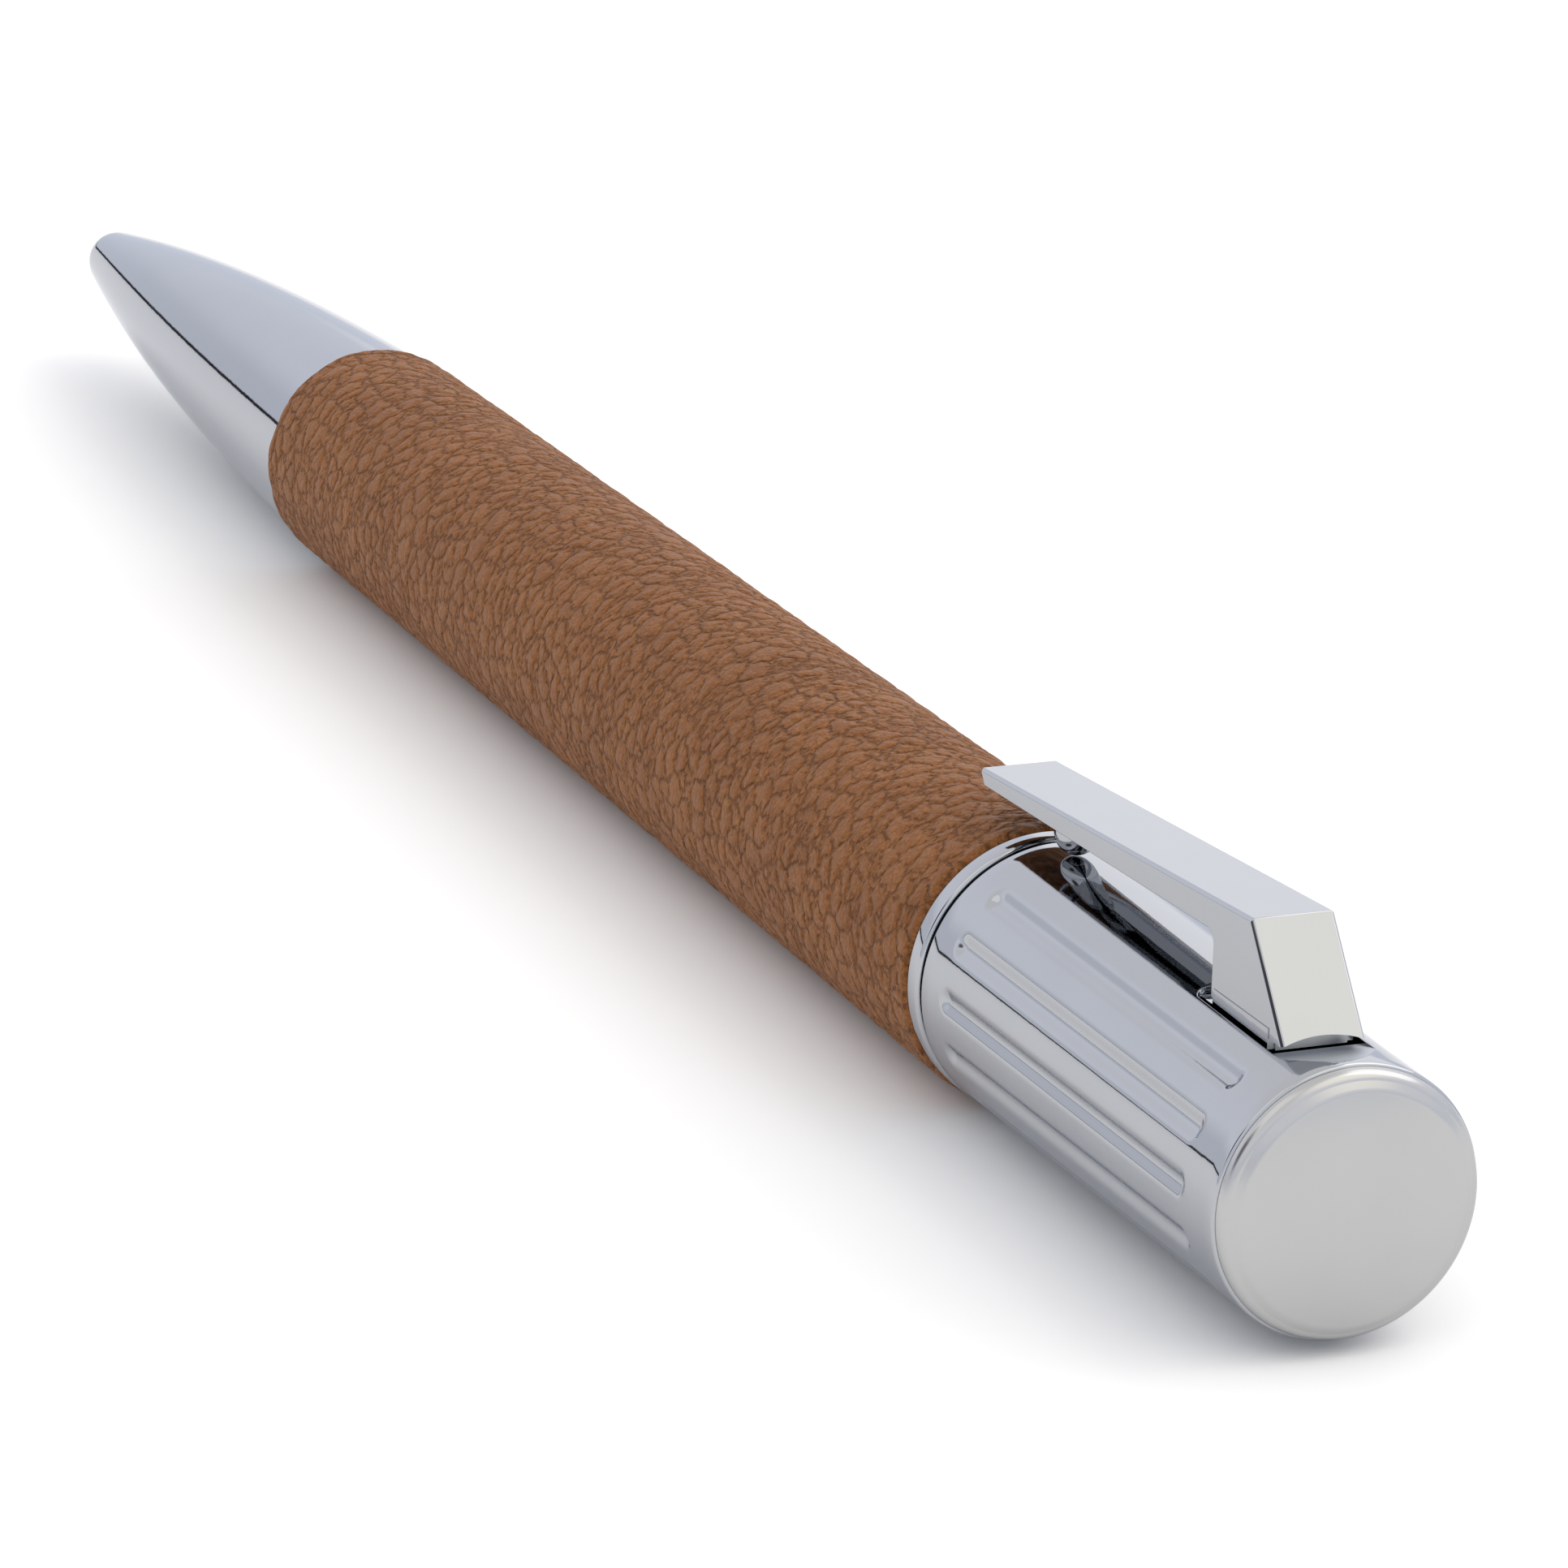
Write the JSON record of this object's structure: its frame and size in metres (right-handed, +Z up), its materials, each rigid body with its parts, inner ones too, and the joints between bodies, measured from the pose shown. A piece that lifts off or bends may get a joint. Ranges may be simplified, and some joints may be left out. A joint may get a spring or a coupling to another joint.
{
  "type": "twist-action rollerball pen",
  "caption": "Slim twist-action rollerball pen: chromed ogive nose, leather-wrapped barrel, fluted chromed upper section with a sprung clip and a low domed end cap.",
  "frame": {"origin": "middle of the pen's bounding box, on the surface that the pen lies on: the flat seam on the underside of the leather", "axes": "+X from the writing tip to the end cap, along the pen's axis; +Z up, with the clip straight up; +Y across the pen"},
  "size_m": [0.1422, 0.0102, 0.013],
  "materials": {
    "chrome": "polished",
    "leather": "pebbled, semi-matte",
    "brass": "machined",
    "nickel": "satin nickel",
    "steel": "bright drawn",
    "refill_metal": "satin",
    "white_plastic": "moulded acetal",
    "black_plastic": "moulded",
    "ink_fibre": "ink-soaked fibre",
    "seal_rubber": "matte"
  },
  "bodies": {
    "barrel": {"nose_cone": "chrome", "front_coupler": "brass", "nose_o_ring": "seal_rubber", "barrel_tube": "brass", "leather_sleeve": "leather", "trim_ring": "chrome", "twist_washer": "black_plastic", "mech_housing": "brass", "mech_bush": "white_plastic", "friction_o_ring": "seal_rubber", "return_spring": "steel"},
    "upper": {"mech_rotor": "nickel", "upper_liner": "brass", "upper_sleeve": "chrome", "clip_carrier": "brass", "end_stud": "steel", "end_cap": "chrome", "clip_pin": "steel", "clip_spring": "steel"},
    "clip": {"clip": "chrome"},
    "refill": {"plunger": "white_plastic", "plunger_pin": "steel", "refill_plug": "black_plastic", "refill_tube": "refill_metal", "refill_reservoir": "ink_fibre", "refill_neck": "black_plastic", "refill_tip": "nickel", "refill_ball": "steel"}
  },
  "joints": [
    {"name": "twist", "type": "hinge", "parent": "barrel", "child": "upper", "pos_m": [0.04759, 0, 0.005], "axis": [-1, 0, 0], "range_deg": [0, 110]},
    {"name": "refill_slide", "type": "slide", "parent": "barrel", "child": "refill", "axis": [-1, 0, 0], "range_m": [0, 0.0045], "deforming": ["return_spring"]},
    {"name": "clip_hinge", "type": "hinge", "parent": "upper", "child": "clip", "pos_m": [0.06406, 0, 0.0083], "axis": [0, 1, 0], "range_deg": [0, 4], "stiffness_Nm_per_rad": 0.05, "springref_deg": -1.15, "deforming": ["clip_spring"]}
  ],
  "couplings": [
    {"joint": "twist", "follows": "refill_slide", "rad_per_m": 426.64}
  ]
}
